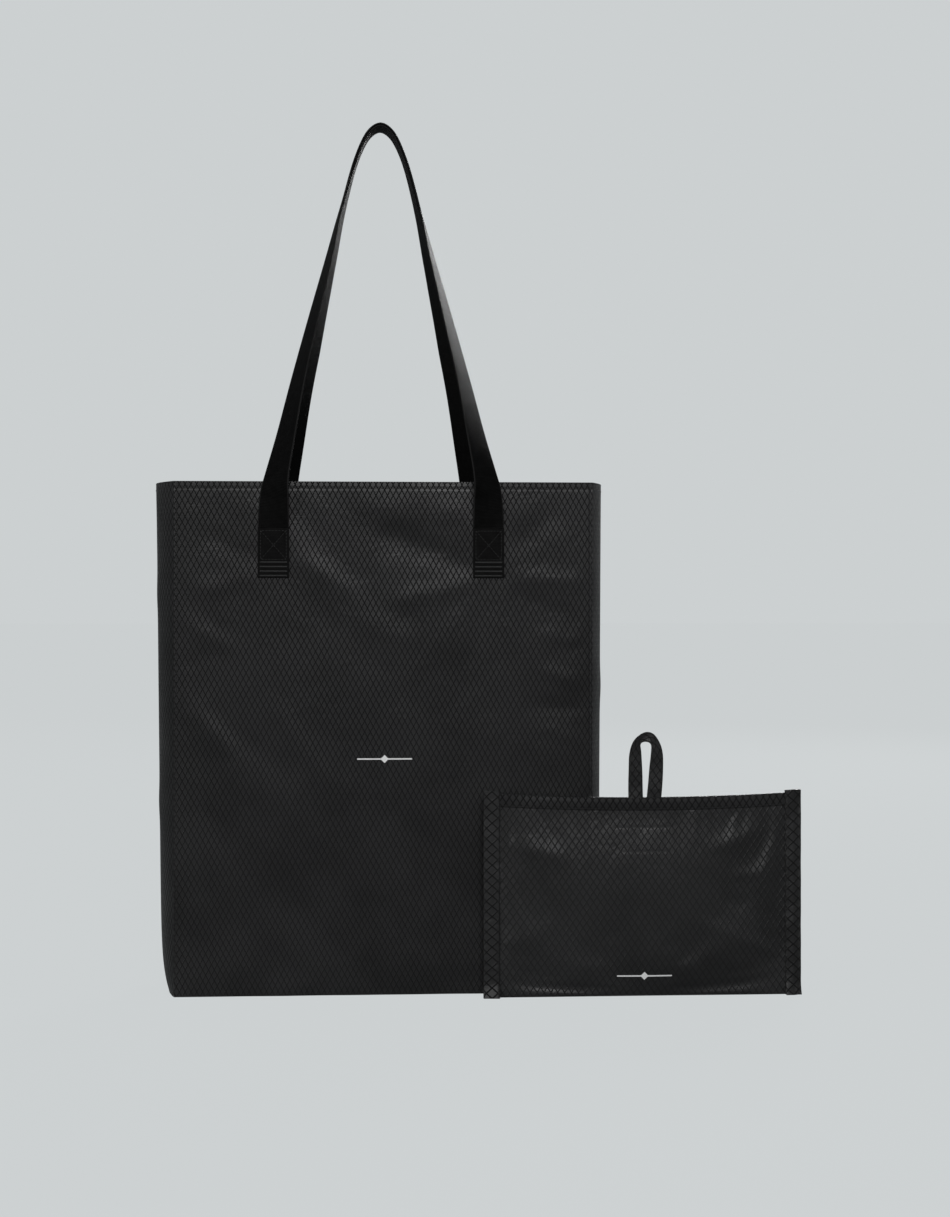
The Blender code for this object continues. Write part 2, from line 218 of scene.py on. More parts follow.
def bump(tree, height_value, depth, strength, under=None):
    """Raises the surface by height_value, up to depth metres. under is a bump that it lies on."""
    inputs = [("Strength", strength), ("Distance", depth), ("Height", height_value)]
    if under is not None:
        inputs.append(("Normal", under))
    return add_node(tree, "ShaderNodeBump", inputs).outputs[0]


print("material helpers ready")

# %% [markdown]
# Ripstop is a thin plain weave with a net of thicker threads. Here the net lies on the bias, so it draws
# tall diamonds. A brick or checker texture can't lean its lines, so the net is worked out: the pattern's
# two coordinates are added and subtracted, and each result is folded back and forth, which gives the
# distance to the nearest line of each family. The smaller one marks a thread. The cells between threads
# puff up slightly, the threads are duller and darker than the coated cells, and a slow crinkle runs
# through everything, because thin coated cloth is never flat.

# %% Diamond ripstop


def ripstop(name, diamond, roughness, gloss, crumple_depth, sewn=()):
    """diamond is one cell's width and height; crumple_depth is that of the fine creases. sewn lists rows of
    stitching that draw the cloth in: 0 or 1 for across or up, place, half width, reach from the middle."""
    look, tree, shader = new_look(name, roughness, gloss=gloss)
    across, up, place = cloth_place(tree)
    u = sum_node(tree, "DIVIDE", across, diamond[0])
    v = sum_node(tree, "DIVIDE", up, diamond[1])
    rising = sum_node(tree, "PINGPONG", sum_node(tree, "ADD", u, v), 0.5)
    falling = sum_node(tree, "PINGPONG", sum_node(tree, "SUBTRACT", u, v), 0.5)
    nearest = sum_node(tree, "MINIMUM", rising, falling)
    on_thread = soft_step(tree, nearest, 0.045, 0.10, 1.0, 0.0)
    cloudy = noise(tree, place, 14.0, 3.0, Roughness=0.55)
    bright, dim = (tuple(k * c for c in BLACK_CELL) for k in (1.35, 0.75))
    cells = mix_colour(tree, soft_step(tree, cloudy, 0.3, 0.7), dim, bright)
    tree.links.new(mix_colour(tree, on_thread, cells, BLACK_THREAD), shader.inputs["Base Color"])
    uneven = soft_step(tree, cloudy, 0.25, 0.75, roughness + 0.05, roughness - 0.05)
    dull = sum_node(tree, "MULTIPLY", on_thread, THREAD_DULLER)
    tree.links.new(sum_node(tree, "ADD", uneven, dull), shader.inputs["Roughness"])
    crinkle = noise(tree, place, 38.0, 4.0, Roughness=0.6, Distortion=0.8)
    shape = bump(tree, crinkle, crumple_depth, 0.5)
    for axis, line, half, reach in sewn:
        side, other = (sum_node(tree, "ABSOLUTE", (across, up)[k]) for k in (axis, 1 - axis))
        off = sum_node(tree, "ABSOLUTE", sum_node(tree, "SUBTRACT", side, line))
        beyond = soft_step(tree, other, reach, reach + 3 * MM)
        drawn = sum_node(tree, "MAXIMUM", soft_step(tree, off, 0.0, half), beyond)
        shape = bump(tree, drawn, SEAM_DEPTH, 0.4, shape)
    shape = bump(tree, soft_step(tree, nearest, 0.0, 0.12, 1.0, 0.0), THREAD_RISE, 0.8, shape)
    tree.links.new(shape, shader.inputs["Normal"])
    return look


BLACK_CELL = (0.0038, 0.0038, 0.0039)
BLACK_THREAD = (0.0008, 0.0008, 0.0008)
THREAD_DULLER = 0.52
THREAD_RISE, SEAM_DEPTH = 0.00030, 0.00025
WHOLE = 1.0
hem_line = height - 5.6 * MM
seam_line = half_width - 1.8 * MM
pouch_hem_line = pouch_height - 8.4 * MM
short_lines = (pouch_height - 23.5 * MM, pouch_height - 43.0 * MM)
tote_seams = ((1, hem_line, 2.2 * MM, WHOLE), (0, seam_line, 2.0 * MM, WHOLE))
pouch_seams = (
    (1, pouch_hem_line, 2.0 * MM, WHOLE),
    (1, short_lines[0], 2.2 * MM, 22 * MM),
    (1, short_lines[1], 2.2 * MM, 18 * MM),
)
TOTE_CELL, POUCH_CELL = (4.6 * MM, 8.6 * MM), (5.5 * MM, 8.1 * MM)
tote_cloth = ripstop("tote_ripstop", TOTE_CELL, 0.35, 0.035, 1.0 * MM, tote_seams)
side_cloth = ripstop("side_ripstop", TOTE_CELL, 0.46, 0.030, 1.4 * MM)
pouch_cloth = ripstop("pouch_ripstop", POUCH_CELL, 0.31, 0.060, 1.6 * MM, pouch_seams)
hem_cloth = ripstop("hem_ripstop", POUCH_CELL, 0.48, 0.020, 1.2 * MM)
binding_cloth = ripstop("binding_ripstop", POUCH_CELL, 0.42, 0.045, 3.0 * MM)
print("ripstop:", tote_cloth.name, "and", pouch_cloth.name)

# %% [markdown]
# The handles are heavy black webbing, woven with ribs that cross it, and with a tight selvedge along each
# edge. Both selvedges carry a painted highlight, and the raised ribs are painted lighter than the hollows, a
# painted highlight mixed with a random change of tone. The pattern's first coordinate runs across the
# webbing from its middle, so the selvedge is simply where that coordinate is large.

# %% Webbing


def webbing_look(name, half, colour, edge, gloss=0.008):
    """half is half the webbing's width; edge is the colour of the painted highlight along both selvedges."""
    look, tree, shader = new_look(name, 0.62, gloss=gloss)
    across, along, place = cloth_place(tree)
    rib = sum_node(tree, "SINE", sum_node(tree, "MULTIPLY", along, 2 * math.pi / (1.15 * MM)))
    warp = sum_node(tree, "SINE", sum_node(tree, "MULTIPLY", across, 2 * math.pi / (1.25 * MM)))
    woven = sum_node(tree, "ADD", sum_node(tree, "MULTIPLY", rib, warp), sum_node(tree, "MULTIPLY", rib, 0.8))
    side = sum_node(tree, "ABSOLUTE", across)
    # Painted highlight: both selvedge bands are mixed towards the lighter edge colour; the same band also
    # raises the bump.
    selvedge_and_highlight = soft_step(tree, side, half - 1.2 * MM, half - 0.5 * MM)
    uneven = noise(tree, place, 180.0, 3.0)
    # Painted highlight on the weave: raised ribs get a lighter colour than the hollows, varied by random
    # noise.
    lit = sum_node(tree, "MULTIPLY", uneven, soft_step(tree, woven, -1.2, 1.6, 0.2, 1.6))
    rib_highlight_and_tone = mix_colour(tree, lit, tuple(0.4 * c for c in colour), tuple(3.0 * c for c in colour))
    tree.links.new(mix_colour(tree, selvedge_and_highlight, rib_highlight_and_tone, edge), shader.inputs["Base Color"])
    raised = sum_node(tree, "ADD", woven, sum_node(tree, "MULTIPLY", selvedge_and_highlight, 1.5))
    tree.links.new(bump(tree, raised, 0.0002, 0.5), shader.inputs["Normal"])
    return look


WEBBING_HALF = 12.5 * MM
WEBBING_THICK = 1.2 * MM
# The last colour of each webbing is its painted selvedge highlight.
webbing = webbing_look("black_webbing", WEBBING_HALF, (0.0005, 0.0005, 0.0005), (0.0030, 0.0030, 0.0030))
# A copy of the handle webbing painted a little lighter for the flat sewn ends: painted light, not a different
# webbing.
sewn_webbing_painted_lighter = webbing_look(
    "sewn_webbing_painted_lighter", WEBBING_HALF, (0.0007, 0.0007, 0.0007), (0.0012, 0.0012, 0.0012), gloss=0.010
)
print("webbing", 2 * WEBBING_HALF / MM, "mm wide")

# %% [markdown]
# Small finishes: polyester thread, plain woven tape for the hems and bindings inside, the two faces of a
# hook-and-loop fastener, and a light grey print. Each has a little texture of its own, because a flat
# colour looks like plastic beside cloth.

# %% Thread, tape, fastener and print


def speckled(name, colour, roughness, grain, depth, sheen=0.0):
    """A plain finish with a fine grain: grain is in grains per metre, depth in metres."""
    look, tree, shader = new_look(name, roughness, sheen, gloss=0.1)
    place = add_node(tree, "ShaderNodeTexCoord").outputs["Object"]
    spots = noise(tree, place, grain, 2.0)
    colours = mix_colour(tree, spots, tuple(0.7 * c for c in colour), tuple(1.4 * c for c in colour))
    tree.links.new(colours, shader.inputs["Base Color"])
    tree.links.new(bump(tree, spots, depth, 0.5), shader.inputs["Normal"])
    return look


thread_look = speckled("black_thread", (0.0030, 0.0030, 0.0030), 0.50, 2500, 0.0001)
tape_look = webbing_look("black_tape", 20 * MM, (0.0040, 0.0040, 0.0041), (0.006, 0.006, 0.006))
hook_look = speckled("hook_tape", (0.008, 0.008, 0.008), 0.80, 1800, 0.0006)
loop_look = speckled("loop_tape", (0.010, 0.010, 0.010), 0.95, 900, 0.0008, sheen=0.4)
print_look = speckled("grey_print", (0.15, 0.15, 0.15), 0.55, 3000, 0.00003)
print("small finishes:", [look.name for look in (thread_look, tape_look, hook_look, loop_look, print_look)])

# %% [markdown]
# Every sewn piece here is a rectangle of cloth that has been bent, so one small class holds them all: a
# grid of points in space together with the flat pattern that it was cut from. It can say where any point
# of the pattern ended up, and which way the cloth faces there. Stitches, tapes and prints are then placed
# on the pattern, as a sewer would mark them, and they follow every fold by themselves.

# %% The cloth grid


def unit(vectors):
    return vectors / np.maximum(np.linalg.norm(vectors, axis=-1, keepdims=True), 1e-12)


class Cloth:
    """points[row, column] in metres; across gives each column's place on the pattern, up each row's."""

    def __init__(self, points, across, up):
        self.points = np.asarray(points, float)
        self.across = np.asarray(across, float)
        self.up = np.asarray(up, float)
        sideways = np.gradient(self.points, axis=1)
        upwards = np.gradient(self.points, axis=0)
        self.facing = unit(np.cross(sideways, upwards))

    def read(self, grid, across, up):
        """grid's value at places on the pattern."""
        column = np.interp(across, self.across, np.arange(len(self.across)))
        row = np.interp(up, self.up, np.arange(len(self.up)))
        c = np.clip(column.astype(int), 0, len(self.across) - 2)
        r = np.clip(row.astype(int), 0, len(self.up) - 2)
        s, t = (column - c)[..., None], (row - r)[..., None]
        low = grid[r, c] * (1 - s) + grid[r, c + 1] * s
        top = grid[r + 1, c] * (1 - s) + grid[r + 1, c + 1] * s
        return low * (1 - t) + top * t

    def at(self, across, up, lift=0.0):
        """Points on the cloth, raised by lift along the way it faces."""
        across, up = np.broadcast_arrays(np.asarray(across, float), np.asarray(up, float))
        facing = unit(self.read(self.facing, across, up))
        return self.read(self.points, across, up) + facing * np.asarray(lift)[..., None]

    def finer(self):
        """The same cloth with a smooth point between each two."""
        return Cloth(
            between_points(between_points(self.points, 0), 1),
            between_points(self.across, 0),
            between_points(self.up, 0),
        )


def between_points(values, axis):
    """Puts a point between neighbours along an axis, on a smooth curve through four of them."""
    values = np.moveaxis(values, axis, 0)
    padded = np.concatenate([2 * values[:1] - values[1:2], values, 2 * values[-1:] - values[-2:-1]])
    middle = (9 * (padded[1:-2] + padded[2:-1]) - padded[:-3] - padded[3:]) / 16
    out = np.empty((2 * len(values) - 1, *values.shape[1:]))
    out[::2], out[1::2] = values, middle
    return np.moveaxis(out, 0, axis)


print("cloth grid ready")

# %% [markdown]
# A grid has no thickness, so each sheet is closed with a second layer a fraction of a millimetre inside and
# a rim around it. That keeps the mesh solid, which matters for anyone who measures or prints it.

# %% Turn a grid into a closed sheet


def new_object(name, verts, faces, look, coords=None, crease=55):
    """A mesh object, smooth except where it turns by more than crease degrees. coords is its flat pattern."""
    mesh = bpy.data.meshes.new(name)
    mesh.from_pydata(verts.reshape(-1, 3).tolist(), [], faces)
    mesh.materials.append(look)
    if coords is not None:
        flat = np.empty(len(mesh.loops), int)
        mesh.loops.foreach_get("vertex_index", flat)
        layer = mesh.uv_layers.new(name="cloth")
        layer.data.foreach_set("uv", np.asarray(coords)[flat].ravel().astype(np.float32))
    mesh.shade_smooth()
    mesh.set_sharp_from_angle(angle=math.radians(crease))
    return linked(name, mesh)


def grid_faces(rows, columns):
    ids = np.arange(rows * columns).reshape(rows, columns)
    corners = (ids[:-1, :-1], ids[:-1, 1:], ids[1:, 1:], ids[1:, :-1])
    return np.stack(corners, -1).reshape(-1, 4), ids


def closed_sheet(name, cloth, thickness, look):
    """The cloth as a closed sheet, its outer face on the grid."""
    rows, columns = cloth.points.shape[:2]
    faces, ids = grid_faces(rows, columns)
    count = rows * columns
    inner = cloth.points - cloth.facing * thickness
    verts = np.concatenate([cloth.points.reshape(-1, 3), inner.reshape(-1, 3)])
    edge = np.concatenate([ids[0, :-1], ids[:-1, -1], ids[-1, :0:-1], ids[:0:-1, 0]])
    after = np.roll(edge, -1)
    rim = np.stack([after, edge, edge + count, after + count], -1)
    faces = np.concatenate([faces, faces[:, ::-1] + count, rim])
    flat = np.stack(np.meshgrid(cloth.across, cloth.up), -1).reshape(-1, 2)
    return new_object(name, verts, faces.tolist(), look, np.concatenate([flat, flat]))


def settle(piece, body, slot, *nodes):
    """Puts a piece on its body and hides the plain solids that it stands for; slot is not used."""
    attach(piece, body)
    if nodes:
        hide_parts(*nodes)
    return piece


def sewn_sheet(node, ending, cloth, thickness, look, body, slot):
    """A closed sheet named after the plain solid that it stands for, on its body."""
    return settle(closed_sheet(node + ending, cloth, thickness, look), body, slot, node)


print("sheet builder ready")

# %% [markdown]
# The tote's four walls are one closed loop of cloth before they are four pieces, so the seams always meet.
# The front and back are nearly flat. The sides stand out a little between their seams and tuck in near the
# base, where the bottom panel holds them. A few shallow folds are drawn where cloth like this
# really folds: down from the handle ends, and along the sides where it was once creased for the pouch.

# %% Shape the tote's walls
FACE_COLUMNS, SIDE_COLUMNS, WALL_ROWS = 57, 19, 69
face_across = np.linspace(-half_width, half_width, FACE_COLUMNS)
side_across = np.linspace(-half_depth, half_depth, SIDE_COLUMNS)
wall_up = np.linspace(0, height, WALL_ROWS)
SIDE_SWELL = {"left": (7.5 * MM, 6.4 * MM, 4.5 * MM), "right": (4.0 * MM, 5.6 * MM, 2.6 * MM)}


def side_swell(side, up):
    """How far a side stands out at mid depth: at the base, just above it, and more towards the rim."""
    base, above, rim = SIDE_SWELL[side]
    return base + above * (1 - np.exp(-up / 0.018)) + rim * up / height


def fold_line(across, up, fold):
    """A soft ridge on the pattern. fold is where it starts, where it ends, its width and its depth, all in
    millimetres; a negative depth makes a valley."""
    x0, z0, x1, z1, width, depth = (MM * value for value in fold)
    length = math.hypot(x1 - x0, z1 - z0)
    along = ((across - x0) * (x1 - x0) + (up - z0) * (z1 - z0)) / length**2
    off = ((across - x0) * (z1 - z0) - (up - z0) * (x1 - x0)) / length
    taper = np.clip(np.sin(np.pi * np.clip(along, 0, 1)), 0, 1) ** 0.7
    return depth * taper * np.exp(-((off / width) ** 2))


FOLDS = {
    "front": [
        (-70, 398, 75, 394, 15, 1.5),
        (76, 338, -5, 374, 12, -1.7),
        (74, 330, -4, 314, 8, 0.7),
        (-74, 352, -20, 322, 8, 0.7),
        (-98, 345, -150, 372, 9, -0.7),
        (-98, 335, -158, 322, 8, 0.7),
        (100, 336, 166, 330, 7, 0.8),
        (98, 352, 140, 392, 10, -0.7),
        (100, 322, 160, 300, 6, -0.6),
        (118, 290, 166, 283, 5, 0.6),
        (124, 262, 166, 246, 6, 0.7),
        (110, 232, 166, 228, 6, -0.6),
        (120, 214, 166, 200, 5, 0.6),
        (-166, 302, -110, 272, 7, 0.7),
        (-166, 262, -125, 276, 6, -0.6),
        (-166, 236, -118, 190, 8, 0.9),
        (-140, 236, -82, 176, 9, -0.7),
        (-100, 250, -46, 170, 9, 0.7),
        (-30, 300, 70, 275, 12, 0.7),
        (30, 262, 80, 205, 12, -0.7),
        (-166, 130, -120, 150, 8, 0.5),
        (166, 140, 125, 165, 8, 0.5),
    ],
    "back": [
        (-88, 335, -40, 255, 8, 1.2),
        (88, 335, 150, 240, 9, 1.3),
        (-166, 290, -85, 250, 8, 1.1),
        (166, 225, 60, 205, 9, -1.2),
        (-130, 150, 10, 175, 11, 1.0),
        (-50, 372, 55, 350, 10, 0.9),
    ],
    "right": [
        (0, 20, 0, 405, 9, -3.0),
        (-45, 260, 30, 225, 12, 0.7),
        (-40, 110, 44, 150, 12, 0.6),
    ],
    "left": [
        (0, 20, 0, 405, 9, -2.0),
        (-40, 300, 30, 330, 12, 0.6),
        (-45, 180, 40, 140, 12, 0.7),
    ],
}


def wall_points(label):
    """One wall's grid before it is draped, seen from outside with its pattern running left to right."""
    sideways = label in SIDE_SWELL
    across, up = np.meshgrid(side_across if sideways else face_across, wall_up)
    share = across / (half_depth if sideways else half_width)
    held = 1 - np.abs(share) ** (2.2 if sideways else 4)
    out = sum(fold_line(across, up, fold) for fold in FOLDS[label]) * np.clip(4 * held, 0, 1)
    rim = np.clip((height - up) / 0.03, 0, 1)
    if sideways:
        out = held * side_swell(label, up) + out * rim
        flip = 1 if label == "right" else -1
        return np.stack([flip * (half_width + out), flip * across, up], -1)
    swell = 1.4 * MM * held * np.sin(np.pi * np.clip(up / height, 0, 1)) ** 0.6
    ripple = 0.35 * MM * np.sin(across * 95 + 3 * up * 20) * np.sin(up * 60 + across * 21) * held
    flip = -1 if label == "front" else 1
    return np.stack([-flip * across, flip * (half_depth + swell + (out + ripple) * rim), up], -1)


WALLS = ("front", "right", "back", "left")
flat_walls = {label: wall_points(label) for label in WALLS}
print("walls:", {label: flat_walls[label].shape[:2] for label in WALLS})

# %% [markdown]
# Small folds are hard to draw well, and cloth makes them by itself. So the loop is handed to the cloth
# solver with its seams, rim, base and handle ends held, and the cloth between them is told to grow by about
# one part in a hundred. It has nowhere to go and buckles into the soft, uneven folds of a bag that has been
# packed away. The movement is capped, so no point leaves the space that the piece may fill.

# %% The cloth solver


def drape(name, loop, held, slack, growth, cap, frames=22):
    """Drapes a loop of cloth. loop is [row, column, xyz] and closes on itself; held and slack are weights."""
    rows, columns = loop.shape[:2]
    ids = np.arange(rows * columns).reshape(rows, columns)
    after = np.roll(ids, -1, axis=1)
    faces = np.stack([ids[:-1], after[:-1], after[1:], ids[1:]], -1).reshape(-1, 4)
    piece = new_object(name, loop, faces.tolist(), tote_cloth)
    for label, weights in (("held", held), ("slack", slack)):
        group = piece.vertex_groups.new(name=label)
        for weight in np.unique(np.round(weights, 2)):
            chosen = np.flatnonzero(np.abs(np.round(weights, 2).ravel() - weight) < 0.001)
            group.add(chosen.tolist(), float(weight), "REPLACE")
    solver = piece.modifiers.new("drape", "CLOTH")
    cloth = solver.settings
    cloth.quality = 6
    cloth.mass = 0.2
    cloth.tension_stiffness = cloth.compression_stiffness = 25
    cloth.shear_stiffness = 12
    cloth.bending_stiffness = 0.6
    cloth.air_damping = 2.0
    cloth.vertex_group_mass = "held"
    cloth.vertex_group_shrink = "slack"
    cloth.shrink_min, cloth.shrink_max = 0.0, -growth
    cloth.effector_weights.gravity = 0.05
    solver.collision_settings.use_collision = False
    solver.point_cache.frame_start, solver.point_cache.frame_end = 1, frames
    scene = bpy.context.scene
    for frame_number in range(1, frames + 1):
        scene.frame_set(frame_number)
    moved = piece.evaluated_get(bpy.context.evaluated_depsgraph_get())
    found = np.empty(len(moved.data.vertices) * 3)
    moved.data.vertices.foreach_get("co", found)
    scene.frame_set(1)
    bpy.data.objects.remove(piece, do_unlink=True)
    shift = found.reshape(loop.shape) - loop
    size = np.linalg.norm(shift, axis=-1, keepdims=True)
    print(name, "moved up to", round(float(size.max()) / MM, 2), "mm before the cap")
    return loop + shift * cap * np.tanh(size / cap) / np.maximum(size, 1e-9)


# %% Drape the tote's walls
whole_loop = np.concatenate([flat_walls[label][:, :-1] for label in WALLS], axis=1)
starts = np.cumsum([0] + [flat_walls[label].shape[1] - 1 for label in WALLS])
loop_held = np.zeros(whole_loop.shape[:2])
loop_held[:, starts[:-1]] = 1.0
loop_held[0] = loop_held[-1] = loop_held[-2] = 1.0
ANCHOR_X, ANCHOR_REACH, ANCHOR_FOOT, FACE_REACH = 86 * MM, 19 * MM, 328 * MM, 6 * MM
near_anchor = np.abs(np.abs(whole_loop[..., 0]) - ANCHOR_X) < ANCHOR_REACH
near_anchor &= whole_loop[..., 2] > ANCHOR_FOOT
loop_held[near_anchor & (np.abs(np.abs(whole_loop[..., 1]) - half_depth) < FACE_REACH)] = 1.0
loop_slack = np.clip((whole_loop[..., 2] - 0.13) / 0.16, 0.0, 1.0)
draped = drape("tote_walls", whole_loop, loop_held, loop_slack, growth=0.007, cap=3.0 * MM)
draped[..., 2] = np.clip(draped[..., 2], 0.0, height)
closing = np.concatenate([draped, draped[:, :1]], axis=1)
walls = {}
for number, label in enumerate(WALLS):
    across = side_across if label in SIDE_SWELL else face_across
    points = closing[:, starts[number] : starts[number + 1] + 1]
    walls[label] = Cloth(points, across, wall_up).finer()
print("draped", {label: walls[label].points.shape[:2] for label in WALLS})

# %% [markdown]
# Each wall becomes its own closed sheet. The sides can't follow the bag as it goes flat, because the real
# ones crumple between the faces; here each side only gets its own copy of its mesh.

# %% Make the panels and the sides
CLOTH_THICK = 0.45 * MM
BODY = {"front": "front_half", "back": "back_half", "left": "front_half", "right": "front_half"}


def crumple(piece):
    """Gives a piece between the two faces its own copy of its mesh."""
    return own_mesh(piece)


for label in WALLS:
    side = label in SIDE_SWELL
    node_name = f"{label}_gusset" if side else f"{label}_panel"
    look = side_cloth if side else tote_cloth
    piece = sewn_sheet(node_name, "_cloth", walls[label], CLOTH_THICK, look, BODY[label], "ripstop")
    if side:
        crumple(piece)
    print(piece.name, len(piece.data.polygons), "faces")

# %% [markdown]
# The base is the one part of the bag that always lies on something. It is flat along its seams and lifts a
# little in between, the way stiff cloth does when it has been folded.

# %% Make the base
base_across = np.linspace(-half_width, half_width, 85)
base_up = np.linspace(-half_depth, half_depth, 29)
bx, by = np.meshgrid(base_across, base_up)
edge_x, edge_y = 1 - (bx / half_width) ** 6, 1 - (by / half_depth) ** 4
lift = 0.4 * MM + 1.6 * MM * edge_x * edge_y * (0.6 + 0.4 * np.sin(bx * 31 + 1.0) * np.cos(by * 60))
lift += fold_line(bx, by, (-160, 0, 160, 4, 5, 1.2)) * edge_y
base = Cloth(np.stack([bx, by, lift], -1), base_across, base_up)
BASE_THICK = 0.35 * MM
base_piece = sewn_sheet("bottom_panel", "_cloth", base, BASE_THICK, tote_cloth, "front_half", "ripstop")
crumple(base_piece)
print("base lifts up to", round(float(lift.max()) / MM, 2), "mm")

# %% [markdown]
# Inside, the raw edges are covered with woven tape: one strip along the rim of each wall, one down each
# corner and one along each bottom seam. A square patch backs each handle end. All are strips laid on the
# inner face of a wall, so one function makes them from their place on the pattern.

# %% Hem tapes, bindings and patches


def strip_on(name, cloth, across, up, lift, thickness, look, counts):
    """A strip of cloth on a wall. across and up are its limits on the pattern; lift is its outer face."""
    u = np.linspace(*across, counts[0])
    v = np.linspace(*up, counts[1])
    grid = cloth.at(*np.meshgrid(u, v), lift)
    return closed_sheet(name, Cloth(grid, u - np.mean(u), v), thickness, look)


INSIDE = -(CLOTH_THICK + 0.15 * MM)
TAPE_THICK = 0.7 * MM
HEM = 8 * MM
TAPE_WIDE = 8.5 * MM
inside_pieces = []
for label in WALLS:
    side = label in SIDE_SWELL
    reach = (half_depth if side else half_width) - 1.5 * MM
    name = f"{label}_hem"
    rim_tape = (name + "_tape", walls[label], (-reach, reach), (height - HEM, height - 0.2 * MM))
    tape = strip_on(*rim_tape, INSIDE, TAPE_THICK, tape_look, (40 if side else 113, 4))
    settle(tape, BODY[label], "tape", name)
    if side:
        crumple(tape)
    inside_pieces.append(tape)
for label in ("front", "back"):
    wall = walls[label]
    reach = half_width - 1.5 * MM
    name = f"bottom_{label}_binding"
    rise = (2 * MM, 2 * MM + TAPE_WIDE)
    low = strip_on(name + "_tape", wall, (-reach, reach), rise, INSIDE, TAPE_THICK, tape_look, (113, 4))
    inside_pieces.append(settle(low, BODY[label], "tape", name))
    for hand, sign in (("left", -1), ("right", 1)):
        turn = sign if label == "front" else -sign
        ends = sorted((turn * reach, turn * (reach - TAPE_WIDE)))
        name = f"{label}_{hand}_binding"
        rise = (3 * MM + TAPE_WIDE, height - HEM - 0.5 * MM)
        tape = strip_on(name + "_tape", wall, ends, rise, INSIDE, TAPE_THICK, tape_look, (4, 131))
        inside_pieces.append(settle(tape, BODY[label], "tape", name))
        (x0, _, z0), (x1, _, z1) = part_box(f"{label}_{hand}_patch")
        span = sorted((x0, x1) if label == "front" else (-x0, -x1))
        name = f"{label}_{hand}_patch"
        patch = strip_on(name + "_cloth", wall, span, (z0, z1), INSIDE, TAPE_THICK, tote_cloth, (12, 16))
        inside_pieces.append(settle(patch, BODY[label], "tape", name))
print(len(inside_pieces), "tapes and patches inside")

# %% [markdown]
# Stitches are real little loops of thread, raised in the middle and diving into the cloth at both ends. One
# row can hold hundreds, so the tubes are made together with arrays: a few points along each stitch, a ring
# round every point, and faces between the rings.

# %% Stitches


def stitch_lines(cloth, path, pitch, length, lift):
    """Middle lines of the stitches along a path on the pattern, with the way the cloth faces there."""
    path = np.asarray(path, float)
    steps = np.linalg.norm(np.diff(path, axis=0), axis=1)
    travelled = np.concatenate([[0], np.cumsum(steps)])
    count = max(1, int((travelled[-1] - length) / pitch) + 1)
    begin = np.arange(count) * pitch + (travelled[-1] - (count - 1) * pitch - length) / 2
    along = begin[:, None] + np.linspace(0, length, 5)[None]
    across, up = (np.interp(along, travelled, path[:, k]) for k in (0, 1))
    rise = lift * np.array([-0.6, 0.75, 1.0, 0.75, -0.6])[None] + 0 * along
    lines = cloth.at(across, up, rise)
    return lines, unit(cloth.read(cloth.facing, across, up))


def thread_piece(name, runs, radius, look, body):
    """One object of all the stitches in runs, each a closed tube."""
    lines = np.concatenate([run[0] for run in runs])
    facing = np.concatenate([run[1] for run in runs])
    along = unit(np.gradient(lines, axis=1))
    side = unit(np.cross(along, facing))
    over = np.cross(side, along)
    angles = np.linspace(0, 2 * math.pi, 7)[:-1]
    girth = radius * np.array([0.35, 0.95, 1.0, 0.95, 0.35])[None, :, None, None]
    ring = np.cos(angles)[:, None] * side[:, :, None] + np.sin(angles)[:, None] * over[:, :, None]
    verts = lines[:, :, None] + girth * ring
    count, rings, sides = verts.shape[:3]
    ids = np.arange(count * rings * sides).reshape(count, rings, sides)
    turned = np.roll(ids, -1, axis=2)
    quads = np.stack([ids[:, :-1], turned[:, :-1], turned[:, 1:], ids[:, 1:]], -1).reshape(-1, 4).tolist()
    caps = ids[:, 0, ::-1].tolist() + ids[:, -1].tolist()
    return settle(new_object(name, verts, quads + caps, look, crease=180), body, "thread")


STITCH, STITCH_PITCH, THREAD = 2.6 * MM, 3.3 * MM, 0.20 * MM
for label in WALLS:
    side = label in SIDE_SWELL
    reach = (half_depth if side else half_width) - 2 * MM
    wall = walls[label]
    runs = [stitch_lines(wall, [(-reach, hem_line), (reach, hem_line)], STITCH_PITCH, STITCH, THREAD)]
    if not side:
        for edge in (-1, 1):
            run = [(edge * seam_line, 4 * MM), (edge * seam_line, hem_line - 3 * MM)]
            runs.append(stitch_lines(wall, run, STITCH_PITCH, STITCH, THREAD))
    rows = thread_piece(f"{label}_topstitch", runs, THREAD, thread_look, BODY[label])
    if side:
        crumple(rows)
    print(rows.name, sum(len(run[0]) for run in runs), "stitches")

# %% [markdown]
# Each handle is one length of webbing. It leaves its sewn end flat against the panel and turns by a quarter
# on the way up, so that over the hand it lies flat again. A curve with a bevel would lose control of that
# turn, so the ribbon is swept by hand: a smooth path with a twist at each chosen station, and a rounded
# section carried along it. The back handle follows the same path just inside the front one.

# %% Handles
_, anchor_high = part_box("front_left_anchor")
hinge_z = anchor_high[2]
anchor_low_x, anchor_high_x = (corner[0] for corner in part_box("front_right_anchor"))
reach = (anchor_low_x + anchor_high_x) / 2
handle_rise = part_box("front_handle")[1][2] - WEBBING_THICK / 2 - hinge_z
RIM_TWIST = 38
RIM_RISE = height + 4 * MM - hinge_z
GAP = 0.3 * MM
LEG = (
    (0.228, 0.880, 0.850, 52),
    (0.360, 0.775, 0.655, 62),
    (0.513, 0.636, 0.440, 69),
    (0.657, 0.500, 0.280, 76),
    (0.774, 0.397, 0.150, 84),
    (0.858, 0.312, 0.060, 88),
    (0.918, 0.238, 0.000, 90),
    (0.965, 0.160, 0.000, 90),
    (0.990, 0.086, 0.000, 90),
)


def standoff(twist):
    """How far in front of the middle plane the webbing's centre runs, to lie clear of the panel."""
    lean = WEBBING_HALF * math.sin(math.radians(twist))
    return half_depth + GAP + 1.5 * WEBBING_THICK + lean


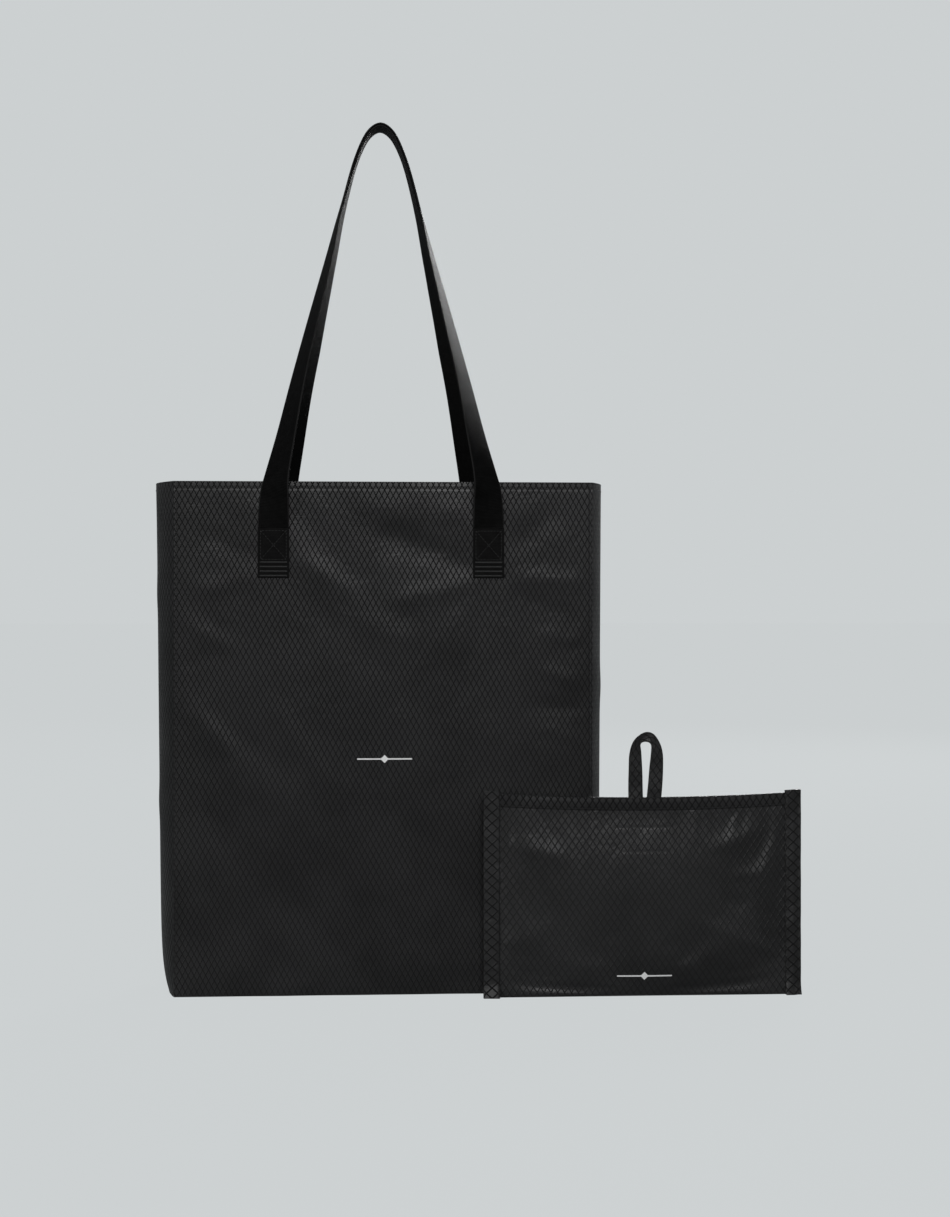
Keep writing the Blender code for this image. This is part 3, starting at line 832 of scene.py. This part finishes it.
def smooth_path(rows, steps):
    """Points along a smooth curve through rows."""
    rows = np.asarray(rows, float)
    padded = np.concatenate([rows[:1], rows, rows[-1:]])
    t = (np.arange(steps) / steps)[:, None]
    parts = []
    for before, start, end, after in zip(padded, padded[1:], padded[2:], padded[3:]):
        parts.append(
            0.5
            * (
                2 * start
                + (end - before) * t
                + (2 * before - 5 * start + 4 * end - after) * t**2
                + (3 * start - before - 3 * end + after) * t**3
            )
        )
    return np.concatenate([*parts, rows[-1:]])


HANDLE_SHIFT = -2.6 * MM


def handle_rows():
    """Stations from the left end over the top to the right end: x, distance in front, z and twist."""
    left = [
        (-reach, standoff(0), hinge_z + GAP, 0),
        (-reach * 0.992, standoff(RIM_TWIST / 2), hinge_z + RIM_RISE / 2, RIM_TWIST / 2),
        (-reach * 0.965, standoff(RIM_TWIST), hinge_z + RIM_RISE, RIM_TWIST),
    ]
    for rise, share, lean, twist in LEG:
        left.append((-reach * share, lean * standoff(RIM_TWIST), hinge_z + rise * handle_rise, twist))
    top = (0.0, 0.0, hinge_z + handle_rise, 90)
    return [*left, top, *[(-x, y, z, 180 - twist) for x, y, z, twist in reversed(left)]]


SECTION = np.array(
    [(-1, -0.3), (-0.985, -0.85), (-0.95, -1), (-0.5, -1), (0, -1), (0.5, -1), (0.95, -1), (0.985, -0.85)]
    + [(1, -0.3), (1, 0.3), (0.985, 0.85), (0.95, 1), (0.5, 1), (0, 1), (-0.5, 1), (-0.95, 1)]
    + [(-0.985, 0.85), (-1, 0.3)]
)


def swept_webbing(name, centres, across, out, look):
    """A closed ribbon with rounded edges, its section carried along centres."""
    widths = SECTION[:, 0][None, :, None] * WEBBING_HALF * across[:, None]
    depths = SECTION[:, 1][None, :, None] * WEBBING_THICK / 2 * out[:, None]
    verts = centres[:, None] + widths + depths
    count, sides = verts.shape[:2]
    ids = np.arange(count * sides).reshape(count, sides)
    turned = np.roll(ids, -1, axis=1)
    quads = np.stack([ids[:-1], turned[:-1], turned[1:], ids[1:]], -1).reshape(-1, 4).tolist()
    travelled = np.concatenate([[0], np.cumsum(np.linalg.norm(np.diff(centres, axis=0), axis=1))])
    flat = np.stack(np.broadcast_arrays(SECTION[:, 0] * WEBBING_HALF, travelled[:, None]), -1)
    caps = [ids[0, ::-1].tolist(), ids[-1].tolist()]
    return new_object(name, verts, quads + caps, look, flat.reshape(-1, 2), crease=60), travelled[-1]


NEST_LOW, NEST_TOP = 3.6, 1.75


def nest(rise):
    """How far inside the front handle the back one lies: NEST_LOW millimetres, then NEST_TOP at the arch."""
    grow = np.clip(rise / 0.12, 0, 1)
    close = np.clip((rise - 0.45) / 0.2, 0, 1)
    return grow * (NEST_LOW + (NEST_TOP - NEST_LOW) * close) * MM


def make_handle(name, face, nested, body, node_name):
    """A handle along its path; face is -1 in front and 1 behind."""
    path = smooth_path(handle_rows(), 10)
    centres = path[:, :3] * (1, face, 1) + (HANDLE_SHIFT, 0, 0)
    along = unit(np.gradient(centres, axis=0))
    along[0], along[-1] = (0, 0, 1), (0, 0, -1)
    turn = np.radians(path[:, 3])
    across = np.stack([np.cos(turn), face * np.sin(turn), 0 * turn], -1)
    across = unit(across - np.sum(across * along, -1, keepdims=True) * along)
    out = unit(np.cross(along, across))
    if nested:
        rise = (path[:, 2] - hinge_z) / handle_rise
        inward = unit(np.stack([along[:, 2], 0 * turn, -along[:, 0]], -1))
        centres = centres + nest(rise)[:, None] * inward
    piece, length = swept_webbing(name, centres, across, out, webbing)
    settle(piece, body, "webbing", node_name)
    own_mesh(piece)
    print(name, round(length, 3), "m of webbing")
    return piece


make_handle("front_handle_webbing", -1, False, "front_handle", "front_handle")
make_handle("back_handle_webbing", 1, True, "back_handle", "back_handle")

# %% [markdown]
# The handle ends are folded under and sewn down, so the webbing is double there. A box of stitches with a
# cross holds it, and four dense bars of zigzag thread take the load at its foot. The ends are boxes with
# rounded rims, pressed in a little along the stitching, which is what makes sewn webbing look sewn.

# %% Handle ends
BOX_HALF, BOX_LOW, BOX_HIGH = 10.2 * MM, 14.5 * MM, 37.5 * MM
BAR_ROWS = (1.6 * MM, 5.2 * MM, 8.8 * MM, 12.4 * MM)
BOX_PITCH, BOX_STITCH = 2.6 * MM, 2.1 * MM
ANCHOR_THICK = 2.1 * MM


def anchor_cloth(label, hand):
    """The outer surface of a sewn end: flat webbing with grooves under its stitches."""
    (x0, _, z0), (x1, _, z1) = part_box(f"{label}_{hand}_anchor")
    face = -1 if label == "front" else 1
    u = np.linspace(-WEBBING_HALF, WEBBING_HALF, 52)
    v = np.linspace(0, z1 - z0, 82)
    across, up = np.meshgrid(u, v)
    edges = np.minimum(np.abs(np.abs(across) - BOX_HALF) + 99 * ((up < BOX_LOW) | (up > BOX_HIGH)), 1)
    rows = np.minimum(np.abs(up - BOX_LOW), np.abs(up - BOX_HIGH)) + 99 * (np.abs(across) > BOX_HALF)
    slope = (BOX_HIGH - BOX_LOW) / (2 * BOX_HALF)
    middle = (BOX_HIGH + BOX_LOW) / 2
    cross = np.minimum(np.abs(up - middle - slope * across), np.abs(up - middle + slope * across)) / slope
    cross = cross + 99 * ((up < BOX_LOW) | (up > BOX_HIGH) | (np.abs(across) > BOX_HALF))
    near = np.minimum(np.minimum(edges, rows), cross)
    depth = 0.28 * MM * np.exp(-((near / (1.1 * MM)) ** 2))
    for row in BAR_ROWS:
        depth = depth + 0.16 * MM * np.exp(-(((up - row) / (1.2 * MM)) ** 2))
    rim = np.minimum(WEBBING_HALF - np.abs(across), np.minimum(up, v[-1] - up))
    depth = depth + 0.45 * MM * np.clip(1 - rim / (0.9 * MM), 0, 1) ** 2
    out = half_depth + 2.65 * MM - depth
    middle_x = (x0 + x1) / 2 + HANDLE_SHIFT
    points = np.stack([middle_x - face * across, face * out, z0 + up], -1)
    return Cloth(points, u, v)


for label in ("front", "back"):
    for hand in ("left", "right"):
        name = f"{label}_{hand}_anchor"
        cloth = anchor_cloth(label, hand)
        sewn_sheet(name, "_webbing", cloth, ANCHOR_THICK, sewn_webbing_painted_lighter, BODY[label], "webbing")
        low, high, mid = BOX_LOW, BOX_HIGH, BOX_HALF
        box_run = [(-mid, low), (mid, low), (mid, high), (-mid, high), (-mid, low)]
        crossing = [(-mid, low), (mid, high)], [(-mid, high), (mid, low)]
        runs = [stitch_lines(cloth, run, BOX_PITCH, BOX_STITCH, THREAD) for run in (box_run, *crossing)]
        thread_piece(f"{label}_{hand}_cross_stitch", runs, THREAD, thread_look, BODY[label])
        bars = []
        steps = np.linspace(-10.8 * MM, 10.8 * MM, 61)
        for row in BAR_ROWS:
            for start, end in zip(steps, steps[1:]):
                tilt = 0.9 * MM if len(bars) % 2 else -0.9 * MM
                path = [(start, row - tilt), (end, row + tilt)]
                bars.append(stitch_lines(cloth, path, 9 * MM, 1.8 * MM, 0.26 * MM))
        bar = thread_piece(f"{label}_{hand}_bartack_thread", bars, THREAD, thread_look, BODY[label])
        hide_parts(f"{label}_{hand}_bartack")
        print(name, "stitches:", sum(len(run[0]) for run in runs), "and", len(bars), "in the bars")

# %% [markdown]
# The mark on the front is a plain bar with a lozenge, printed in pale ink. It is its own very thin sheet,
# laid on the draped cloth, so it bends with the folds under it.

# %% The printed mark


def mark_piece(name, cloth, centre, body, node_name):
    """A bar with a lozenge in its middle, following the cloth just in front of it."""
    low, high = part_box(node_name)
    bar_half, tall = (high[0] - low[0]) / 2, (high[2] - low[2]) / 2
    u = np.unique(np.concatenate([np.linspace(-bar_half, bar_half, 45), np.linspace(-tall, tall, 15)]))
    thick = np.maximum(0.55 * MM, tall - np.abs(u))
    v = np.linspace(-1, 1, 9)
    across = centre[0] + np.broadcast_to(u, (9, len(u)))
    up = centre[1] + v[:, None] * thick[None]
    grid = cloth.at(across, up, 0.12 * MM)
    piece = closed_sheet(name, Cloth(grid, u, v * tall), 0.1 * MM, print_look)
    return settle(piece, body, "mark", node_name)


mark_low, mark_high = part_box("front_mark")
mark_place = (0.0, (mark_low[2] + mark_high[2]) / 2)
mark_piece("front_mark_print", walls["front"], mark_place, "front_half", "front_mark")
print("mark at", mark_place)

# %% [markdown]
# The pouch is a small flat bag, plumped by the air in it. Its two walls start from that rounded shape and
# are held at the side seams, along the base and along the mouth. The cloth solver lets them grow a little,
# which gives the puckers that run in from the corners.

# %% Shape the pouch
POUCH_ROWS, POUCH_COLUMNS = 61, 91
pouch_side = pouch_half - 1.2 * MM
pouch_across = np.linspace(-pouch_side, pouch_side, POUCH_COLUMNS)
pouch_up = np.linspace(0, pouch_height, POUCH_ROWS)
px, pz = np.meshgrid(pouch_across, pouch_up)
swell_span = pouch_side - 8 * MM
swell_across = 1 - np.clip(np.abs(px) / swell_span, 0, 1) ** 3.4
share = pz / pouch_height
swell_up = 1 - np.abs((share - 0.46) / np.where(share < 0.46, 0.48, 0.60)) ** 2.2
near_mouth = np.clip((share - 0.6) / 0.4, 0, 1)
mouth_dip = 4.0 * MM * (1 - (px / pouch_side) ** 2) * near_mouth
base_lift = 0.3 * MM * (1 - (px / pouch_side) ** 2) * np.clip(1 - share / 0.3, 0, 1)
POUCH_FOLDS = {
    "front": [
        (118, 30, 40, 62, 7, 1.6),
        (118, 55, 62, 80, 6, -1.3),
        (116, 140, 50, 118, 8, 1.3),
        (-118, 125, -60, 112, 8, 1.2),
        (-118, 40, -70, 58, 8, 1.3),
        (-20, 30, 30, 36, 9, 0.9),
        (118, 100, 70, 97, 6, 1.0),
    ],
    "back": [(-100, 120, 20, 80, 9, 0.8), (100, 50, 0, 30, 8, 0.8)],
}


POUCH_FULL = {"front": 12.5 * MM, "back": 8.0 * MM}
SEAM_OPEN, MOUTH_OPEN, MOUTH_RAISE = 0.7 * MM, 1.5 * MM, 2.2 * MM


def pouch_grid(face):
    """One wall before it is draped; face is -1 for the front and 1 for the back."""
    label = "front" if face < 0 else "back"
    full = SEAM_OPEN + swell_across * (POUCH_FULL[label] * swell_up + MOUTH_OPEN * share)
    held = np.clip(6 * swell_across * np.clip(share, 0, 1) * np.clip(1 - share, 0, 1) * 3, 0, 1)
    side_x = px if face < 0 else -px
    full = full + held * sum(fold_line(side_x, pz, fold) for fold in POUCH_FOLDS[label])
    z = pz + base_lift - mouth_dip + MOUTH_RAISE * near_mouth
    return np.stack([pouch_x + side_x, pouch_y + face * full, z], -1)


flat_pouch = {"front": pouch_grid(-1), "back": pouch_grid(1)}
pouch_loop_grid = np.concatenate([flat_pouch["front"][:, :-1], flat_pouch["back"][:, :-1]], axis=1)
pouch_held = np.zeros(pouch_loop_grid.shape[:2])
pouch_held[0] = pouch_held[-1] = pouch_held[-2] = 1.0
for seam in (0, 1, POUCH_COLUMNS - 2, POUCH_COLUMNS - 1, POUCH_COLUMNS, 2 * POUCH_COLUMNS - 3):
    pouch_held[:, seam] = 1.0
pouch_slack = np.ones(pouch_held.shape)
growing = {"growth": 0.016, "cap": 3.6 * MM, "frames": 24}
puffed = drape("pouch_walls", pouch_loop_grid, pouch_held, pouch_slack, **growing)
pouch_faces = {
    "front": Cloth(puffed[:, :POUCH_COLUMNS], pouch_across, pouch_up).finer(),
    "back": Cloth(
        np.concatenate([puffed[:, POUCH_COLUMNS - 1 :], puffed[:, :1]], axis=1), pouch_across, pouch_up
    ).finer(),
}
behind = pouch_faces["back"].points
room = -half_depth - 2.6 * MM
behind[..., 1] = np.minimum(behind[..., 1], room)
pouch_faces["back"] = Cloth(behind, pouch_faces["back"].across, pouch_faces["back"].up)
print("pouch front reaches y", round(float(pouch_faces["front"].points[..., 1].min()), 4))

# %% [markdown]
# The walls, the folded hem along the mouth and the tapes round the side seams are laid on that shape. The
# tape is of the same cloth as the pouch, folded over the raw edges, and its ends stand out past the corners.

# %% Make the pouch
POUCH_THICK = 0.45 * MM
HEM_DEEP = 10 * MM
HEM_RISE, HEM_THICK = 0.75 * MM, 0.5 * MM
HEM_PROFILE = (0.10, 0.75, 0.9, 0.95, 1.0, 1.0, 1.0, 0.95, 0.85)
BINDING_THICK = 0.6 * MM
FINE_PITCH, FINE_STITCH, FINE_THREAD = 2.9 * MM, 2.2 * MM, 0.17 * MM
for label in ("front", "back"):
    cloth = pouch_faces[label]
    wall = sewn_sheet(f"pouch_{label}", "_cloth", cloth, POUCH_THICK, pouch_cloth, "pouch", "ripstop")
    reach = swell_span + 1.5 * MM
    u = np.linspace(-reach, reach, 150)
    v = np.linspace(pouch_height - HEM_DEEP, pouch_height, 9)
    band = Cloth(cloth.at(*np.meshgrid(u, v), np.array(HEM_PROFILE)[:, None] * HEM_RISE), u, v)
    sewn_sheet(f"pouch_{label}_hem", "_cloth", band, HEM_THICK, hem_cloth, "pouch", "tape")
    line = [(-reach + 2 * MM, pouch_hem_line), (reach - 2 * MM, pouch_hem_line)]
    runs = [stitch_lines(band, line, FINE_PITCH, FINE_STITCH, FINE_THREAD)]
    if label == "front":
        for half, up in zip((23 * MM, 19.5 * MM), short_lines):
            runs.append(stitch_lines(cloth, [(-half, up), (half, up)], FINE_PITCH, FINE_STITCH, FINE_THREAD))
    thread_piece(f"pouch_{label}_stitch", runs, FINE_THREAD, thread_look, "pouch")
    print(label, "wall and hem")


def binding_tape(hand):
    """A tape folded round a side seam: front lip, the outer edge, back lip."""
    side = -1 if hand == "left" else 1
    rows = np.linspace(0.1 * MM, pouch_height + 2.0 * MM, 90)
    front, back = pouch_faces["front"], pouch_faces["back"]
    lips = np.array([11.2, 10.4, 7.5, 4.0, 0.8, -1.7]) * MM
    lip_edge, ear = 11 * MM, 3.5 * MM * np.clip(1 - rows / (14 * MM), 0, 1) ** 2
    points = []
    for turn in (0, 1):
        cloth = back if turn else front
        sign = -side if turn else side
        for lip in lips if not turn else lips[::-1]:
            across = sign * np.clip(pouch_half - lip, 0, pouch_side)
            up = np.clip(rows, 0, pouch_height)
            at = cloth.at(np.full_like(up, across), up, (0.55 if lip > lip_edge else 1.25) * MM)
            at[:, 0] = pouch_x + side * (pouch_half - lip)
            at[:, 2] += rows - up
            wave = 0.40 * MM * np.sin(rows * 190 + lip * 300 + side) * np.sin(rows * 67 + side)
            at[:, 1] += wave - ear
            points.append(at)
    grid = np.stack(points, 1)
    tape_across = np.linspace(-0.011, 0.011, len(points))
    if side < 0:
        grid = grid[:, ::-1]
    return Cloth(grid, tape_across, rows).finer()


for hand in ("left", "right"):
    cloth = binding_tape(hand)
    tape = sewn_sheet(f"pouch_{hand}_binding", "_cloth", cloth, BINDING_THICK, binding_cloth, "pouch", "tape")
    lines = ([(lip, 3 * MM), (lip, pouch_height - 3 * MM)] for lip in (-8.6 * MM, 8.6 * MM))
    runs = [stitch_lines(cloth, line, FINE_PITCH, FINE_STITCH, FINE_THREAD) for line in lines]
    thread_piece(f"pouch_{hand}_binding_stitch", runs, FINE_THREAD, thread_look, "pouch")
    print(tape.name, len(tape.data.polygons), "faces")

# %% [markdown]
# Inside the mouth two squares of hook and loop tape close the pouch. They are hardly seen, but they show
# from above, so each gets its own finish: stiff little hooks on one, a softer pile on the other.

# %% Fastener, mark and hanging loop of the pouch
for label, kind, look in (("front", "hook", hook_look), ("back", "loop", loop_look)):
    low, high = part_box(f"pouch_{kind}_patch")
    wide = (high[0] - low[0]) / 2
    spot = (f"pouch_{kind}_tape", pouch_faces[label], (-wide, wide), (low[2], high[2]))
    patch = strip_on(*spot, -(POUCH_THICK + 0.1 * MM), 0.8 * MM, look, (24, 12))
    settle(patch, "pouch", "hook_and_loop", f"pouch_{kind}_patch")
mark_low, mark_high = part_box("pouch_mark")
mark_place = (0.0, (mark_low[2] + mark_high[2]) / 2)
mark_piece("pouch_mark_print", pouch_faces["front"], mark_place, "pouch", "pouch_mark")

loop_low, loop_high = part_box("pouch_loop")
loop_y = (loop_low[1] + loop_high[1]) / 2
STRIP, LOOP_THICK, LOOP_LEAN, LOOP_THREAD = 10.8 * MM, 1.0 * MM, 2.6 * MM, 0.15 * MM
OUTER_EDGE = (
    [(-13.9, -3.5), (-13.8, 18), (-13.0, 33), (-9.2, 43.4), (-1.5, 49.2)]
    + [(5.8, 48.6), (11.0, 42.4), (14.0, 33), (14.3, 18), (12.8, -3.5)]
)
INNER_EDGE = (
    [(-2.0, -3.5), (-2.5, 18), (-3.2, 33), (-3.8, 39.5), (-1.5, 41.6)]
    + [(2.2, 41.4), (4.3, 39.0), (4.2, 33), (2.8, 18), (1.0, -3.5)]
)
outer_line, inner_line = (smooth_path(np.array(edge) * MM, 10) for edge in (OUTER_EDGE, INNER_EDGE))
across = np.linspace(0, 1, 17)[None, :, None]
strip_grid = outer_line[:, None] * (1 - across) + inner_line[:, None] * across
outward = across[..., 0] - 0.5
right_leg = np.clip((strip_grid[..., 0] + 4 * MM) / (8 * MM), 0, 1)
rise = np.clip(strip_grid[..., 1] / (46 * MM), 0, 1)
tilt = (2.4 - 4.8 * right_leg) * MM * rise * outward
edge_fall = 0.35 * MM * np.abs(2 * outward) ** 6
wavy = 0.3 * MM * np.sin(strip_grid[..., 1] * 240 + 3 * right_leg)
strip_points = np.stack(
    [
        pouch_x + LOOP_LEAN + strip_grid[..., 0],
        loop_y - 0.6 * MM + tilt + wavy + edge_fall,
        loop_low[2] + strip_grid[..., 1],
    ],
    -1,
)
strip_along = np.concatenate([[0], np.cumsum(np.linalg.norm(np.diff(strip_points[:, 8], axis=0), axis=1))])
strip_cloth = Cloth(strip_points, np.linspace(-STRIP / 2, STRIP / 2, 17), strip_along)
sewn_sheet("pouch_loop", "_strip", strip_cloth, LOOP_THICK, binding_cloth, "pouch_loop", "ripstop")
edge_lines = ([(edge, 5 * MM), (edge, strip_along[-1] - 5 * MM)] for edge in (-4.0 * MM, 4.0 * MM))
edge_runs = [stitch_lines(strip_cloth, line, FINE_PITCH, FINE_STITCH, LOOP_THREAD) for line in edge_lines]
thread_piece("pouch_loop_stitch", edge_runs, LOOP_THREAD, thread_look, "pouch_loop")
print("hanging loop", round(float(strip_along[-1]), 3), "m of strip")

# %% [markdown]
# Last, the script prints that it has finished.

# %% Finish
print("finished")
